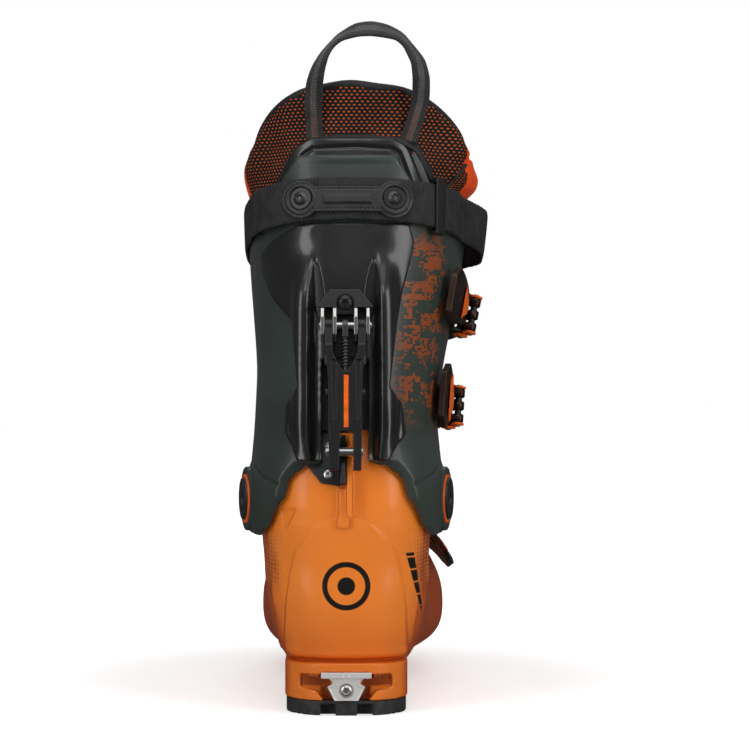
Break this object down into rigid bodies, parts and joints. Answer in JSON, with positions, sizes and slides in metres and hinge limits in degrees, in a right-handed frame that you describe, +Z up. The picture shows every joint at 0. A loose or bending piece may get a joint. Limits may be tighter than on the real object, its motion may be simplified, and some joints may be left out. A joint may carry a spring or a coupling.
{
  "type": "alpine touring ski boot",
  "caption": "Right alpine touring ski boot with a swinging cuff, rear mode lever, buckles, power strap, padded liner and touring binding fittings.",
  "frame": {"origin": "on the sole plane, on the boot's centre plane, at the middle of the sole length", "axes": "+Z up from the sole, +Y towards the toe, +X to the lateral (outer) side of the right foot"},
  "size_m": [0.1469, 0.3154, 0.3933],
  "materials": {
    "shell_plastic": "smooth orange moulding",
    "cuff_plastic": "satin dark green moulding with a rust speckle",
    "black_plastic": "satin black moulding",
    "orange_trim": "bright orange insert",
    "bronze": "dark bronze anodised",
    "black_metal": "black coated",
    "steel": "brushed",
    "bright_alloy": "machined",
    "sole_rubber": "moulded",
    "liner_fabric": "padded mesh",
    "webbing": "woven black webbing",
    "foam": "pressed foam"
  },
  "bodies": {
    "shell": {"lower_shell": "shell_plastic", "heel_sole_lug": "sole_rubber", "toe_sole_lug": "sole_rubber", "sole_screws": "steel", "heel_tech_fitting": "bright_alloy", "heel_fitting_screw": "steel", "toe_tech_fittings": "steel", "pivot_bushes": "steel", "pivot_caps": "black_plastic", "pivot_rings": "orange_trim", "boot_board": "foam", "foot_liner": "liner_fabric", "insole": "foam", "spine_latch_plate": "black_plastic", "spine_latch_rail": "steel", "spine_screws": "steel", "throat_gusset": "black_plastic", "instep_buckle_base": "black_plastic", "instep_ladder": "black_metal", "toe_buckle_base": "black_plastic", "toe_ladder": "black_metal", "shell_buckle_pins": "steel"},
    "cuff": {"cuff": "cuff_plastic", "cuff_spine": "black_plastic", "cuff_spoiler": "black_plastic", "cuff_liner": "liner_fabric", "liner_tongue": "liner_fabric", "pull_loop": "webbing", "lever_ears": "steel", "lever_axle": "steel", "lever_bracket": "black_metal", "bracket_bolt": "black_metal", "power_strap": "webbing", "strap_tail": "webbing", "strap_anchor": "black_plastic", "anchor_washers": "black_metal", "anchor_screws": "steel", "strap_slider": "black_plastic", "upper_buckle_base": "black_plastic", "upper_ladder": "black_metal", "middle_buckle_base": "black_plastic", "middle_ladder": "black_metal", "cuff_buckle_pins": "steel"},
    "mode_lever": {"mode_lever": "black_metal", "lever_stripe": "orange_trim", "latch_pin": "steel", "lever_spring": "steel", "spring_guide": "steel"},
    "upper_lever": {"upper_buckle_lever": "bronze", "upper_buckle_grip": "orange_trim"},
    "upper_bail": {"upper_buckle_bail": "black_metal"},
    "middle_lever": {"middle_buckle_lever": "bronze", "middle_buckle_grip": "orange_trim"},
    "middle_bail": {"middle_buckle_bail": "black_metal"},
    "instep_lever": {"instep_buckle_lever": "bronze", "instep_buckle_grip": "orange_trim"},
    "instep_bail": {"instep_buckle_bail": "black_metal"},
    "toe_lever": {"toe_buckle_lever": "bronze", "toe_buckle_grip": "orange_trim"},
    "toe_bail": {"toe_buckle_bail": "black_metal"}
  },
  "joints": [
    {"name": "cuff_pivot", "type": "hinge", "parent": "shell", "child": "cuff", "pos_m": [0, -0.076, 0.118], "axis": [-1, 0, 0], "range_deg": [-30, 20]},
    {"name": "mode_lever_hinge", "type": "hinge", "parent": "cuff", "child": "mode_lever", "pos_m": [0, -0.15, 0.219], "axis": [1, 0, 0], "range_deg": [-55, 7]},
    {"name": "upper_lever_hinge", "type": "hinge", "parent": "cuff", "child": "upper_lever", "pos_m": [0.07029, -0.06723, 0.22684], "axis": [0.1952, 0.192, 0.9618], "range_deg": [0, 100]},
    {"name": "upper_bail_hinge", "type": "hinge", "parent": "upper_lever", "child": "upper_bail", "pos_m": [0.07516, -0.07284, 0.22698], "axis": [0.1952, 0.192, 0.9618], "range_deg": [-113, 1]},
    {"name": "middle_lever_hinge", "type": "hinge", "parent": "cuff", "child": "middle_lever", "pos_m": [0.06146, -0.0713, 0.1724], "axis": [0.0699, 0.1741, 0.9823], "range_deg": [0, 100]},
    {"name": "middle_bail_hinge", "type": "hinge", "parent": "middle_lever", "child": "middle_bail", "pos_m": [0.06645, -0.07677, 0.17302], "axis": [0.0699, 0.1741, 0.9823], "range_deg": [-113, 1]},
    {"name": "instep_lever_hinge", "type": "hinge", "parent": "shell", "child": "instep_lever", "pos_m": [0.04596, 0.00968, 0.10199], "axis": [-0.0802, -0.9299, 0.359], "range_deg": [0, 100]},
    {"name": "instep_bail_hinge", "type": "hinge", "parent": "instep_lever", "child": "instep_bail", "pos_m": [0.05315, 0.00849, 0.1005], "axis": [-0.0802, -0.9299, 0.359], "range_deg": [-113, 1]},
    {"name": "toe_lever_hinge", "type": "hinge", "parent": "shell", "child": "toe_lever", "pos_m": [0.0438, 0.0595, 0.08901], "axis": [0.1196, -0.9643, 0.2363], "range_deg": [0, 100]},
    {"name": "toe_bail_hinge", "type": "hinge", "parent": "toe_lever", "child": "toe_bail", "pos_m": [0.05105, 0.06068, 0.09015], "axis": [0.1196, -0.9643, 0.2363], "range_deg": [-113, 1]}
  ],
  "couplings": [
    {"joint": "upper_bail_hinge", "follows": "upper_lever_hinge", "ratio": -1.12},
    {"joint": "middle_bail_hinge", "follows": "middle_lever_hinge", "ratio": -1.12},
    {"joint": "instep_bail_hinge", "follows": "instep_lever_hinge", "ratio": -1.12},
    {"joint": "toe_bail_hinge", "follows": "toe_lever_hinge", "ratio": -1.12}
  ]
}
